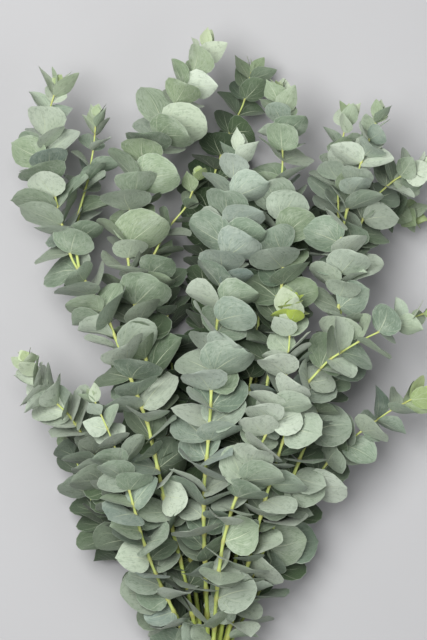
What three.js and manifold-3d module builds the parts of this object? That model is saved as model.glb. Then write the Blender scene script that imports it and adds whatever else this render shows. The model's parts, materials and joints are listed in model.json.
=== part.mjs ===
// A florist's bunch of silver-dollar eucalyptus, lying on a table with its cut ends
// towards -Y and its tips towards +Y. Fifteen branches cross the rubber band in a close
// pack, then fan out. Each branch grew as one piece, so its stem, its side shoots and its
// opposite pairs of round leaves are one solid. No two branches touch.
//
// Millimetres, +Z up. While the bunch is being made, the band is at x = 0, y = 0 and the
// table is at z = 0. At the end the origin moves to the middle of the footprint.

import * as THREE from "three";
import { mergeVertices } from "three/addons/utils/BufferGeometryUtils.js";
import { ConvexGeometry } from "three/addons/geometries/ConvexGeometry.js";
import Module from "manifold-3d";

const wasm = await Module();
wasm.setup();

// Stems
const STEM_FOOT_RADIUS = 2.9;
const STEM_TIP_RADIUS = 0.9;
const SHOOT_FOOT_RADIUS = 1.6;
const STEM_SIDES = 6;
const STEM_STEP = 40; // the most that one straight piece of a stem runs

// Where the band holds the stems, and where their cut ends rest
const BAND_HEIGHT = 34;
const BAND_WIDTH = 11;
const BAND_THICKNESS = 2.2;
const BAND_GAP = 0.4;
const FOOT_Y = -85;
const FOOT_STAGGER = 9; // the cut ends are uneven by up to this much
const FOOT_HEIGHT = 16.5;
const FOOT_SPREAD = 1.3; // how much looser the pack of stems is there than in the band

// Leaves
const LEAF_THICKNESS = 1.2; // at the middle of the blade, thinning to the rim
const LEAF_FOLD = 0.2; // how far the sides rise, as a share of the half width
const LEAF_BEND = 0.08; // how far the tip sinks, as a share of the length
const LOWEST_LEAF_Y = 60; // below this the stems are stripped
const LEAF_ROOT = 0.17; // how deep the blade's base is sunk in a flat side of its stem
const LEAF_ROOT_THICKNESS = 0.4;
const CLEARANCE = 1.1; // air that a leaf keeps above and below its blade
const FLOOR_CLEARANCE = 0.4;
const WELD = 0.05; // slivers smaller than this, where blades meet stems, are closed up

// One side of the rim of a blade, from base to tip: [share of the length, share of the
// half width].
const ROUND_RIM = [[0.2, 0.72], [0.48, 1], [0.84, 0.66], [1, 0]];
const POINTED_RIM = [[0.17, 0.55], [0.38, 1], [0.7, 0.62], [1, 0]];
const BLADE_MIDDLE = 0.42; // share of the length where the blade is thickest
const SMALL_LEAF = 30; // a leaf shorter than this has a simpler rim

// How leaf pairs follow each other from a stem's tip down to its start, in millimetres
const FIRST_PAIR = 5; // from the tip
const LAST_PAIR = 12; // from the start
const PAIR_STEP = 13; // between young pairs
const PAIR_STEP_GROWTH = 0.16; // more for each millimetre from the tip
const WIDEST_PAIR_STEP = 34;
const PAIR_STEP_CHANCE = [0.9, 0.2]; // the least share of that step, and how much more
const RIPENING = 38; // a leaf this far from the tip is about two thirds grown

// A leaf at the very tip, and how much a full-grown one adds
const LEAF_LENGTH = [14, 25];
const LEAF_ASPECT = [0.5, 0.67]; // its width as a share of its length
const LEAF_LIFT = [26, 34]; // degrees from the stem
const LEAF_SIZE_CHANCE = [0.88, 0.24]; // the least share of that size, and how much more

// Chance differences and habits, in degrees
const PAIR_WOBBLE = 18;
const TURN_WOBBLE = 16;
const LIFT_WOBBLE = 10;
const ROLL_WOBBLE = 14;
const SIDE_ROLL = 40; // leaves at the sides of a stem twist to face the light

// How solids are kept apart
const ROOM_SPREAD = 1.03; // a leaf's room against its blade, across and along
const STEM_POINT_STEP = 8; // between the points that stand for a stem
const STEM_POINT_REACH = 4; // how far beyond its radius such a point watches
const GRIP_SIZE = 200; // more than the stems' pack measures at the band
const BAND_CORNER_STEP = 30; // degrees between the corners of the band's round ends

// Each branch: its seat in the band's close pack [x, z], the route of its stem from just
// above the band to its tip, the size of its leaves, and its side shoots.
const BRANCHES = [
  {
    name: "branch_centre_front", seat: [0, 5.1], leaf: 1.1, seed: 3,
    route: [[0, 84, 56], [-3, 165, 92], [-4, 245, 126], [2, 310, 140], [5, 375, 145],
      [13, 445, 145], [21, 520, 138], [27, 565, 132], [31, 600, 128]],
  },
  {
    name: "branch_right_front", seat: [3, 10.2], leaf: 1.0, seed: 11,
    route: [[7, 94, 70], [11, 152, 102], [15, 185, 118], [27, 231, 134], [42, 268, 144],
      [58, 298, 148], [75, 338, 150], [83, 380, 152], [84, 438, 154]],
  },
  {
    name: "branch_left_front", seat: [-6, 5.1], leaf: 1.0, seed: 5,
    route: [[-26, 84, 58], [-44, 128, 84], [-62, 172, 108], [-74, 215, 124], [-86, 262, 134],
      [-102, 305, 140], [-118, 340, 142]],
  },
  {
    name: "branch_left_arch", seat: [-3, 10.2], leaf: 1.12, seed: 7,
    route: [[-13, 84, 51], [-30, 170, 84], [-48, 242, 104], [-62, 310, 114], [-80, 358, 118],
      [-109, 432, 116], [-140, 478, 110], [-160, 550, 100], [-174, 605, 94], [-159, 668, 90]],
    shoots: [{
      leaf: 0.95,
      route: [[-134, 471, 111], [-140, 502, 96], [-136, 535, 86], [-127, 568, 82],
        [-121, 602, 80], [-118, 636, 82]],
    }],
  },
  {
    name: "branch_right_twig", seat: [6, 5.1], leaf: 0.95, seed: 23,
    route: [[22, 84, 54], [42, 160, 86], [62, 240, 112], [80, 300, 126], [98, 349, 134],
      [125, 379, 138], [147, 395, 136], [176, 404, 130], [203, 421, 124], [228, 428, 120]],
  },
  {
    name: "branch_low_left", seat: [-9, 0], leaf: 1.05, seed: 13,
    route: [[-30, 84, 46], [-56, 135, 58], [-80, 185, 72], [-102, 235, 84], [-121, 280, 94],
      [-138, 312, 102], [-160, 335, 110], [-178, 353, 116], [-188, 378, 120]],
  },
  {
    name: "branch_top_left", seat: [-3, 0], leaf: 1.15, seed: 17,
    route: [[-8, 84, 42], [-19, 168, 62], [-36, 252, 76], [-56, 336, 84], [-72, 410, 90],
      [-83, 470, 95], [-84, 520, 100], [-70, 575, 104], [-47, 625, 104], [-18, 675, 100],
      [-2, 712, 96]],
    shoots: [{
      leaf: 0.85,
      route: [[-73, 418, 90.5], [-66, 455, 82], [-52, 505, 76], [-30, 530, 78],
        [-18, 548, 82], [-10, 572, 86]],
    }],
  },
  {
    name: "branch_top_right", seat: [3, 0], leaf: 1.05, seed: 19,
    route: [[14, 84, 50], [30, 168, 76], [45, 252, 96], [59, 336, 110], [71, 410, 117],
      [79, 480, 118], [75, 540, 114], [79, 600, 110], [74, 660, 106]],
  },
  {
    name: "branch_right", seat: [9, 0], leaf: 1.0, seed: 29,
    route: [[20, 84, 45], [42, 135, 60], [65, 190, 76], [88, 250, 90], [106, 300, 100],
      [122, 356, 107], [134, 405, 111], [138, 470, 112], [136, 540, 112], [138, 595, 108],
      [147, 635, 104]],
    shoots: [{
      leaf: 1.0,
      route: [[134, 403, 110.8], [143, 445, 98], [153, 492, 90], [164, 532, 90],
        [181, 558, 92], [206, 573, 94], [232, 584, 96]],
    }, {
      leaf: 0.95,
      route: [[137.5, 500, 112.2], [146, 540, 124], [158, 580, 130], [168, 610, 132],
        [177, 632, 132]],
    }],
  },
  {
    name: "branch_middle", seat: [0, -5.1], leaf: 1.1, seed: 31,
    route: [[6, 84, 41], [16, 150, 56], [27, 225, 72], [38, 300, 84], [48, 378, 92],
      [56, 440, 96], [55, 500, 96], [45, 565, 94]],
  },
  {
    name: "branch_low_right", seat: [6, -5.1], leaf: 1.0, seed: 37,
    route: [[29, 84, 37], [48, 114, 44], [67, 155, 53], [85, 193, 61], [104, 232, 68],
      [122, 264, 73], [141, 285, 77], [161, 301, 79], [192, 323, 78], [212, 335, 76],
      [226, 341, 74]],
  },
  {
    name: "branch_back_left", seat: [-6, -5.1], leaf: 1.1, seed: 41,
    route: [[-10, 84, 34], [-17, 168, 40], [-27, 252, 44], [-35, 315, 46], [-40, 389, 50],
      [-45, 441, 52], [-52, 490, 54]],
  },
  {
    name: "branch_outer_left", seat: [-9, -10.2], leaf: 1.0, seed: 43,
    route: [[-25, 84, 31], [-51, 126, 35], [-80, 158, 38], [-101, 185, 40], [-119, 212, 42],
      [-132, 240, 44], [-142, 270, 47], [-150, 308, 50]],
  },
  {
    name: "branch_top_middle", seat: [-3, -10.2], leaf: 1.0, seed: 47,
    route: [[-2, 84, 28], [-4, 210, 36], [-6, 330, 41], [-3, 450, 43], [2, 545, 42],
      [14, 603, 40], [34, 640, 38], [48, 692, 36]],
  },
  {
    name: "branch_right_arch", seat: [3, -10.2], leaf: 1.0, seed: 53,
    route: [[10, 84, 27], [24, 160, 33], [38, 260, 38], [52, 357, 41], [62, 430, 42],
      [76, 482, 42], [98, 510, 42], [125, 522, 41], [160, 536, 40], [196, 545, 38],
      [224, 532, 36]],
  },
];

// Materials
const EUCALYPTUS = { color: 0x8fa596, roughness: 0.65, metalness: 0 };
const RUBBER = { color: 0xb98a5a, roughness: 0.8, metalness: 0 };

// Numbers from 0 to 1 that repeat for the same seed.
function seededRandom(seed) {
  let state = seed * 2654435761;
  return () => {
    state = (state + 0x6d2b79f5) | 0;
    let mixed = Math.imul(state ^ (state >>> 15), 1 | state);
    mixed = (mixed + Math.imul(mixed ^ (mixed >>> 7), 61 | mixed)) ^ mixed;
    return ((mixed ^ (mixed >>> 14)) >>> 0) / 4294967296;
  };
}

const degrees = THREE.MathUtils.degToRad;

// A curve through points given as [x, y, z].
function curveThrough(points) {
  const corners = points.map((point) => new THREE.Vector3(...point));
  return new THREE.CatmullRomCurve3(corners, false, "centripetal");
}

// A stem's whole route: cut end, seat in the band, then its own points.
function stemCurve(branch, random) {
  const [seatX, seatZ] = branch.seat;
  const footY = FOOT_Y - FOOT_STAGGER * random();
  const foot = [seatX * FOOT_SPREAD, footY, FOOT_HEIGHT + seatZ * FOOT_SPREAD];
  return curveThrough([foot, [seatX, 0, BAND_HEIGHT + seatZ], ...branch.route]);
}

// Where a curve is at a share of its length, and the directions along it, towards the
// top of the lying bunch, and sideways.
function frameAt(curve, share) {
  const along = curve.getTangentAt(share);
  const front = new THREE.Vector3(0, 0, 1).addScaledVector(along, -along.z).normalize();
  const side = new THREE.Vector3().crossVectors(along, front);
  return { point: curve.getPointAt(share), along, front, side };
}

// A closed geometry as a solid.
function solidFrom(geometry) {
  const bare = geometry.clone();
  bare.deleteAttribute("normal");
  bare.deleteAttribute("uv");
  const merged = mergeVertices(bare, 1e-4);
  return new wasm.Manifold(new wasm.Mesh({
    numProp: 3,
    vertProperties: merged.attributes.position.array,
    triVerts: new Uint32Array(merged.index.array),
  }));
}

function geometryFrom(solid) {
  const mesh = solid.getMesh();
  return new THREE.BufferGeometry()
    .setAttribute("position", new THREE.BufferAttribute(mesh.vertProperties, 3))
    .setIndex(new THREE.BufferAttribute(mesh.triVerts, 1));
}

// A cylinder bent along a curve in straight pieces, tapering from its foot to its tip.
function stemSolid(curve, footRadius) {
  const steps = Math.ceil(curve.getLength() / STEM_STEP);
  const geometry =
    new THREE.CylinderGeometry(STEM_TIP_RADIUS, footRadius, 1, STEM_SIDES, steps);
  const position = geometry.attributes.position;
  for (let i = 0; i < position.count; i++) {
    const frame = frameAt(curve, THREE.MathUtils.clamp(position.getY(i) + 0.5, 0, 1));
    const bent = frame.point
      .addScaledVector(frame.side, position.getX(i))
      .addScaledVector(frame.front, position.getZ(i));
    position.setXYZ(i, bent.x, bent.y, bent.z);
  }
  return solidFrom(geometry);
}

// A leaf as a thin lens with its base at the origin, its tip on +X and its upper face
// to +Z, then folded up along its midrib and bent down towards its tip. Small leaves have
// two corners fewer.
function leafGeometry(leaf, thickness, spread) {
  const { length, width, pointed } = leaf;
  const rim = ROUND_RIM.map(([along, across], i) =>
    new THREE.Vector2(along, across).lerp(new THREE.Vector2(...POINTED_RIM[i]), pointed));
  const corners = length < SMALL_LEAF ? rim.filter((_, i) => i !== 2) : rim;
  const points = [
    new THREE.Vector3(0, 0, LEAF_ROOT_THICKNESS / 2),
    new THREE.Vector3(0, 0, -LEAF_ROOT_THICKNESS / 2),
    new THREE.Vector3(BLADE_MIDDLE * length, 0, thickness / 2),
    new THREE.Vector3(BLADE_MIDDLE * length, 0, -thickness / 2),
    ...corners.flatMap(({ x, y }) => [-1, 1].map((side) =>
      new THREE.Vector3(x * length, (side * y * width) / 2, 0))),
  ];
  const geometry = new ConvexGeometry(points).scale(spread, spread, 1);
  const position = geometry.attributes.position;
  for (let i = 0; i < position.count; i++) {
    const fold = LEAF_FOLD * Math.abs(position.getY(i));
    const bend = (LEAF_BEND * position.getX(i) ** 2) / length;
    position.setZ(i, position.getZ(i) + fold - bend);
  }
  return geometry;
}

// The point on a stem's straight pieces, and the distance from there to its flat sides.
function stemMiddle({ curve, footRadius }, share) {
  const steps = Math.ceil(curve.getLength() / STEM_STEP);
  const step = Math.min(Math.floor(share * steps), steps - 1);
  const from = curve.getPointAt(step / steps);
  const to = curve.getPointAt((step + 1) / steps);
  const radius = THREE.MathUtils.lerp(footRadius, STEM_TIP_RADIUS, share);
  return {
    middle: from.lerp(to, share * steps - step),
    flatDistance: radius * Math.cos(Math.PI / STEM_SIDES),
  };
}

// Straight out from a stem, turned round it from the front.
function outwardFrom(frame, turn) {
  return frame.front.clone().multiplyScalar(Math.cos(turn))
    .addScaledVector(frame.side, Math.sin(turn));
}

// How a leaf sits on its stem: lifted from the stem by its lift, turned round the stem by
// its turn, and rolled about its own midrib. Its base is in the middle of a flat side.
function leafMatrix(frame, leaf) {
  const outward = outwardFrom(frame, leaf.turn);
  const flatAngle = (2 * Math.PI) / STEM_SIDES;
  const flat = outwardFrom(frame, (Math.floor(leaf.turn / flatAngle) + 0.5) * flatAngle);
  const base = frame.middle.clone().addScaledVector(flat, frame.flatDistance - LEAF_ROOT);
  const tipward = frame.along.clone().multiplyScalar(Math.cos(leaf.lift))
    .addScaledVector(outward, Math.sin(leaf.lift));
  const across = new THREE.Vector3().crossVectors(frame.along, outward)
    .applyAxisAngle(tipward, leaf.roll);
  const up = new THREE.Vector3().crossVectors(tipward, across);
  return new THREE.Matrix4().makeBasis(tipward, across, up).setPosition(base);
}

// What is already in place: its solid, points spread through it and how far it reaches
// from them.
const placed = [];

// The ways a leaf may give way to its neighbours, gentlest first: changes of lift, roll
// and turn in degrees, and of size.
const NUDGES = [1, 0.86, 0.72].flatMap((size) => [
  [0, 0, 0], [12, 0, 0], [-12, 0, 0], [0, 25, 0], [0, -25, 0], [0, 0, 18], [0, 0, -18],
  [14, 20, 10], [-14, -20, 10], [14, -20, -10], [-14, 20, -10], [0, 50, 15], [0, -50, -15],
  [24, 0, 25], [24, 0, -25], [-22, 30, 25], [-22, -30, -25], [30, 40, 0], [30, -40, 0],
].map(([lift, roll, turn]) => ({ lift, roll, turn, size })));

// Puts one leaf on a stem in the first way that is clear of all else, or leaves it out.
function growLeaf(frame, wanted, stem, mate) {
  for (const nudge of NUDGES) {
    const leaf = {
      ...wanted,
      length: wanted.length * nudge.size,
      width: wanted.width * nudge.size,
      lift: wanted.lift + degrees(nudge.lift),
      roll: wanted.roll + degrees(nudge.roll),
      turn: wanted.turn + degrees(nudge.turn),
    };
    const matrix = leafMatrix(frame, leaf);
    const blade = leafGeometry(leaf, LEAF_THICKNESS, 1).applyMatrix4(matrix);
    blade.computeBoundingBox();
    if (blade.boundingBox.min.z < FLOOR_CLEARANCE) continue;
    const roomy = leafGeometry(leaf, LEAF_THICKNESS + 2 * CLEARANCE, ROOM_SPREAD);
    const room = solidFrom(roomy.applyMatrix4(matrix));
    const middle = new THREE.Vector3(leaf.length / 2, 0, 0).applyMatrix4(matrix);
    const reach = Math.hypot(leaf.length, leaf.width) / 2;
    const clear = placed.every((other) => other === stem || other === mate
      || other.points.every((point) => point.distanceTo(middle) > reach + other.reach)
      || other.solid.intersect(room).isEmpty());
    if (clear) {
      const grown = { solid: solidFrom(blade), points: [middle], reach };
      placed.push(grown);
      return grown;
    }
  }
  return null;
}

// The leaves of one stem or shoot, in pairs from the tip down, each pair a quarter turn
// from the last. Young pairs near the tip are small, pointed and close together.
function growLeaves(axis, random) {
  const { curve, stem, leafScale } = axis;
  const length = curve.getLength();
  const wobble = (size) => degrees(size * (2 * random() - 1));
  const chance = ([least, more]) => least + more * random();
  const grown = ([young, more], age) => young + more * age;
  const leaves = [];
  let fromTip = FIRST_PAIR;
  let turn = wobble(90);
  while (fromTip < length - LAST_PAIR) {
    const share = 1 - fromTip / length;
    const frame = { ...frameAt(curve, share), ...stemMiddle(axis, share) };
    if (frame.point.y < LOWEST_LEAF_Y) break;
    const age = 1 - Math.exp(-fromTip / RIPENING);
    let mate = null;
    for (const half of [0, Math.PI]) {
      const size = leafScale * chance(LEAF_SIZE_CHANCE);
      const bladeLength = size * grown(LEAF_LENGTH, age);
      const leafTurn = turn + half + wobble(TURN_WOBBLE);
      const sideways = Math.abs(Math.sin(leafTurn));
      const rollSign = random() < 0.5 ? -1 : 1;
      const wanted = {
        length: bladeLength,
        width: bladeLength * grown(LEAF_ASPECT, age),
        pointed: 1 - age,
        lift: degrees(grown(LEAF_LIFT, age)) + wobble(LIFT_WOBBLE),
        roll: rollSign * degrees(SIDE_ROLL * sideways) + wobble(ROLL_WOBBLE),
        turn: leafTurn,
      };
      mate = growLeaf(frame, wanted, stem, mate);
      if (mate) leaves.push(mate.solid);
    }
    const step = Math.min(WIDEST_PAIR_STEP, PAIR_STEP + PAIR_STEP_GROWTH * fromTip);
    fromTip += step * chance(PAIR_STEP_CHANCE);
    turn += Math.PI / 2 + wobble(PAIR_WOBBLE);
  }
  return leaves;
}

// Every stem stands before any leaf grows, so that a leaf can keep clear of all of them.
function makeStem(curve, footRadius, leafScale) {
  const solid = stemSolid(curve, footRadius);
  const points = curve.getSpacedPoints(Math.ceil(curve.getLength() / STEM_POINT_STEP));
  const stem = { solid, points, reach: footRadius + STEM_POINT_REACH };
  placed.push(stem);
  return { curve, stem, footRadius, leafScale };
}

const grownBranches = BRANCHES.map((branch) => {
  const random = seededRandom(branch.seed);
  const curve = stemCurve(branch, random);
  const axes = [makeStem(curve, STEM_FOOT_RADIUS, branch.leaf)];
  for (const shoot of branch.shoots ?? []) {
    axes.push(makeStem(curveThrough(shoot.route), SHOOT_FOOT_RADIUS, shoot.leaf));
  }
  return { branch, random, axes };
});

// The band's loop is the outline of all the stems where it holds them, opened out by a
// margin.
const grip = solidFrom(new THREE.BoxGeometry(GRIP_SIZE, BAND_WIDTH, GRIP_SIZE));
const gripped = placed.map(({ solid }) => solid.intersect(grip).getMesh().vertProperties);

function stemHull(margin, halfWidth) {
  const corners = [];
  for (const vertices of gripped) {
    for (let i = 0; i < vertices.length; i += 3) {
      for (let angle = 0; angle < 360; angle += BAND_CORNER_STEP) {
        const x = vertices[i] + margin * Math.cos(degrees(angle));
        const z = vertices[i + 2] + margin * Math.sin(degrees(angle));
        corners.push(new THREE.Vector3(x, -halfWidth, z), new THREE.Vector3(x, halfWidth, z));
      }
    }
  }
  return solidFrom(new ConvexGeometry(corners));
}

const band = stemHull(BAND_GAP + BAND_THICKNESS, BAND_WIDTH / 2)
  .subtract(stemHull(BAND_GAP, BAND_WIDTH));

const bunch = new THREE.Group();

// A named mesh whose own origin is at the given point.
function addMesh(name, solid, origin, look) {
  const geometry = geometryFrom(solid).translate(-origin.x, -origin.y, -origin.z);
  const mesh = new THREE.Mesh(geometry, new THREE.MeshStandardMaterial(look));
  mesh.name = name;
  mesh.position.copy(origin);
  bunch.add(mesh);
}

for (const { branch, random, axes } of grownBranches) {
  const leaves = axes.flatMap((axis) => growLeaves(axis, random));
  const whole = wasm.Manifold.union([...axes.map((axis) => axis.stem.solid), ...leaves]);
  const [seatX, seatZ] = branch.seat;
  const seat = new THREE.Vector3(seatX, 0, BAND_HEIGHT + seatZ);
  addMesh(branch.name, whole.simplify(WELD), seat, EUCALYPTUS);
}

addMesh("rubber_band", band, new THREE.Vector3(0, 0, BAND_HEIGHT), RUBBER);

// The origin is on the table, at the middle of the footprint.
const footprint = new THREE.Box3().setFromObject(bunch);
const centre = footprint.getCenter(new THREE.Vector3());
bunch.position.set(-centre.x, -centre.y, -footprint.min.z);

export default bunch;
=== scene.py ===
import json
import math
import random

import bpy
import bmesh
from mathutils import Matrix, Vector
from mathutils.bvhtree import BVHTree
from mathutils.geometry import convex_hull_2d
from mathutils.kdtree import KDTree

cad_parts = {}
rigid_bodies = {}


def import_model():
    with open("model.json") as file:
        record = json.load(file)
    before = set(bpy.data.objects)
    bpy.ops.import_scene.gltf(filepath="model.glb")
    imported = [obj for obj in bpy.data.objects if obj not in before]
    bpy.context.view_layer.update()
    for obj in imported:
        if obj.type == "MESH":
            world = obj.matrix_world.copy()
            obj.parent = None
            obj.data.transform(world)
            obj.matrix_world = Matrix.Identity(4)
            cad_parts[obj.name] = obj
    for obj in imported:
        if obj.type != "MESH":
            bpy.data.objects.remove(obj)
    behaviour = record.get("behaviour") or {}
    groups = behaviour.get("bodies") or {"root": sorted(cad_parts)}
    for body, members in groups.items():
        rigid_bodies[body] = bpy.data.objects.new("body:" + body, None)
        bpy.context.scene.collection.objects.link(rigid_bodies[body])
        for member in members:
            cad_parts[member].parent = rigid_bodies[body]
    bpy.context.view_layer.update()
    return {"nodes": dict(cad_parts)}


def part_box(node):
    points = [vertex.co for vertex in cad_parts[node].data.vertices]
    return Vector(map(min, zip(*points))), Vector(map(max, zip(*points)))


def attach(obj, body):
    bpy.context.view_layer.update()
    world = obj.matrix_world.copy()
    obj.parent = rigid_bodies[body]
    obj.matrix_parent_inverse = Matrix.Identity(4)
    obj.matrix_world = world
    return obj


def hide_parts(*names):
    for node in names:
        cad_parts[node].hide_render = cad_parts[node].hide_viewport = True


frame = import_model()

# The bunch is laid out in millimetres from the table under its rubber band: x across, y
# towards the tips and z up.
bandHeight = 34
lowBand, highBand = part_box("rubber_band")
bunchStart = (Vector(lowBand) + Vector(highBand)) / 2 - Vector((0, 0, bandHeight / 1000))


def place(x, y, z):
    return bunchStart + Vector((x, y, z)) / 1000


class Wire:
    # One output of a node, which can be reckoned with like a number.
    def __init__(self, bench, socket):
        self.bench = bench
        self.socket = socket

    def of(self, name):
        return Wire(self.bench, self.socket.node.outputs[name])

    def reckon(self, operation, *values):
        return self.bench.node("ShaderNodeMath", {"operation": operation}, dict(enumerate(values)))

    def __add__(self, other):
        return self.reckon("ADD", self, other)

    __radd__ = __add__

    def __sub__(self, other):
        return self.reckon("SUBTRACT", self, other)

    def __rsub__(self, other):
        return self.reckon("SUBTRACT", other, self)

    def __mul__(self, other):
        return self.reckon("MULTIPLY", self, other)

    __rmul__ = __mul__

    def __truediv__(self, other):
        return self.reckon("DIVIDE", self, other)

    def __pow__(self, other):
        return self.reckon("POWER", self, other)

    def __abs__(self):
        return self.reckon("ABSOLUTE", self)

    def fraction(self):
        return self.reckon("FRACT", self)


class Bench:
    # A node tree being put together.
    def __init__(self, tree):
        self.tree = tree

    def node(self, kind, settings=None, values=None, output=0):
        made = self.tree.nodes.new(kind)
        for name, value in (settings or {}).items():
            setattr(made, name, value)
        for key, value in (values or {}).items():
            if isinstance(value, Wire):
                self.tree.links.new(value.socket, made.inputs[key])
            else:
                made.inputs[key].default_value = value
        return Wire(self, made.outputs[output])

    def blendColours(self, factor, first, second):
        first, second = [c if isinstance(c, Wire) else (*c, 1) for c in (first, second)]
        return self.node("ShaderNodeMix", {"data_type": "RGBA"},
                         {0: factor, 6: first, 7: second}, output=2)

    def between(self, value, low, high):
        # 0 below low, 1 above high, smooth between them
        return self.node("ShaderNodeMapRange", {"interpolation_type": "SMOOTHSTEP"},
                         {"Value": value, "From Min": low, "From Max": high})

    def noise(self, where, scale, detail=3.0, roughness=0.5):
        return self.node("ShaderNodeTexNoise", {}, {
            "Vector": where, "Scale": scale, "Detail": detail, "Roughness": roughness})

    def attribute(self, name):
        return self.node("ShaderNodeAttribute", {"attribute_name": name}, output="Fac")


def newMaterial(name, fixed):
    # A material with its shader, whose sockets that stay the same everywhere are set here.
    material = bpy.data.materials.new(name)
    material.use_nodes = True
    material.node_tree.nodes.clear()
    bench = Bench(material.node_tree)
    shader = bench.node("ShaderNodeBsdfPrincipled", {}, fixed)
    output = bench.tree.nodes.new("ShaderNodeOutputMaterial")
    bench.tree.links.new(shader.socket, output.inputs["Surface"])
    return material, bench, shader.socket.node


def feed(bench, shader, **wires):
    for name, wire in wires.items():
        bench.tree.links.new(wire.socket, shader.inputs[name.replace("_", " ")])


def makeLeafMaterial():
    looks = {
        "blueGrey": (0.232, 0.30, 0.28), "greyGreen": (0.285, 0.365, 0.222),
        "pale": (0.56, 0.625, 0.525), "deep": (0.095, 0.145, 0.09), "fresh": (0.42, 0.54, 0.045),
        "vein": (0.55, 0.61, 0.44), "joint": (0.56, 0.60, 0.25), "speck": (0.13, 0.13, 0.075),
        # The last colour is the painted shadow colour of leaves deep in the bunch
        "paintedShade": (0.026, 0.058, 0.016),
    }
    material, bench, shader = newMaterial("eucalyptusLeaf", {
        "Sheen Weight": 0.1, "Sheen Roughness": 0.45, "Specular IOR Level": 0.35,
    })
    uv = bench.node("ShaderNodeUVMap", {"uv_map": "UVMap"})
    along = bench.node("ShaderNodeSeparateXYZ", {}, {0: uv})
    fromRib = abs(along.of("Y") * 2 - 1)
    here = bench.node("ShaderNodeTexCoord", {}, output="Object")
    tint, shade = bench.attribute("leafTint"), bench.attribute("leafShade")
    fresh, under = bench.attribute("leafFresh"), bench.attribute("leafUnder")
    paintedShade = bench.attribute("leafPaintedShade")

    # The waxy bloom: blue-grey where it is whole, greener and darker where it is rubbed
    cloud = bench.noise(here, 48.0, 4.0, 0.6)
    rubbed = bench.noise(here, 210.0, 5.0, 0.68)
    colour = bench.blendColours(tint, looks["blueGrey"], looks["greyGreen"])
    colour = bench.blendColours(bench.between(shade, 0.35, 1.0) * 0.85, colour, looks["pale"])
    # A low leafShade darkens a leaf towards the deep colour; on the branches lying lowest this is
    # partly painted shade
    colour = bench.blendColours(bench.between(shade, 0.4, 0.0) * 0.6, colour, looks["deep"])
    colour = bench.blendColours(bench.between(cloud, 0.45, 0.75) * 0.35, colour, looks["pale"])
    colour = bench.blendColours(bench.between(rubbed, 0.5, 0.7) * 0.42, colour, looks["deep"])

    # Fine streaks run out from the base like spokes, and no two leaves have the same
    wide = fromRib * 0.58
    angle = bench.node("ShaderNodeMath", {"operation": "ARCTAN2"}, {0: wide, 1: along + 0.03})
    reach = (wide * wide + along * along) ** 0.5
    side = along.of("Y") * 40
    spokes = bench.node("ShaderNodeCombineXYZ", {},
                        {0: angle * 9, 1: reach * 3 + side, 2: shade * 90})
    streak = bench.noise(spokes, 1.0, 4.0, 0.62)
    colour = bench.blendColours(bench.between(streak, 0.5, 0.7) * 0.34, colour, looks["pale"])
    colour = bench.blendColours(bench.between(streak, 0.48, 0.28) * 0.42, colour, looks["deep"])
    colour = bench.blendColours(fresh, colour, looks["fresh"])

    # Painted shade: leaves deep in the bunch are darkened and greened towards a shadow colour
    colour = bench.blendColours(paintedShade * 0.9, colour, looks["paintedShade"])

    # Veins fan out from the base, and fainter ones leave the midrib in curved pairs
    ripple = (bench.noise(here, 120.0, 2.0) - 0.5) * 0.05
    fan = abs((angle * 2.1 + ripple * 2 + 0.5).fraction() - 0.5) * reach
    fan = bench.between(fan, 0.026, 0.006) * bench.between(reach, 0.95, 0.3)
    bent = along - 0.42 * fromRib + 0.10 * fromRib * fromRib
    sideVein = abs(((bent + ripple) * 7.5).fraction() - 0.5)
    sideVein = bench.between(sideVein, 0.09, 0.02) * bench.between(fromRib, 0.9, 0.3)
    midrib = bench.between(fromRib * (0.35 + along), 0.022, 0.006) * bench.between(along, 1.0, 0.45)
    net = bench.node("ShaderNodeTexVoronoi", {"feature": "DISTANCE_TO_EDGE"},
                     {"Vector": here, "Scale": 620.0})
    netting = bench.between(net, 0.10, 0.0)
    veins = fan * 0.36 + sideVein * (0.07 + 0.07 * under) + midrib * 0.5
    colour = bench.blendColours(netting * 0.06, colour, looks["vein"])
    colour = bench.blendColours(veins, colour, looks["vein"])

    # A pale edge, a yellow-green joint, and scattered dark specks
    edge = bench.between(fromRib, 0.95, 1.0)
    colour = bench.blendColours(edge * 0.35, colour, looks["pale"])
    colour = bench.blendColours(bench.between(reach, 0.10, 0.02) * 0.8, colour, looks["joint"])
    dots = bench.node("ShaderNodeTexVoronoi", {"feature": "F1"}, {"Vector": here, "Scale": 480.0})
    specks = bench.between(dots, 0.17, 0.08) * bench.between(bench.noise(here, 90.0), 0.52, 0.6)
    colour = bench.blendColours(specks * 0.55, colour, looks["speck"])

    height = rubbed * 0.25 + streak * 0.3 + cloud * 0.3
    height = height + veins * (0.6 + 1.2 * under) - netting * 0.1
    bump = bench.node("ShaderNodeBump", {},
                      {"Strength": 0.35, "Distance": 0.0006, "Height": height})
    roughness = 0.52 + rubbed * 0.2 + cloud * 0.08
    feed(bench, shader, Base_Color=colour, Normal=bump, Roughness=roughness)
    return material


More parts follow.
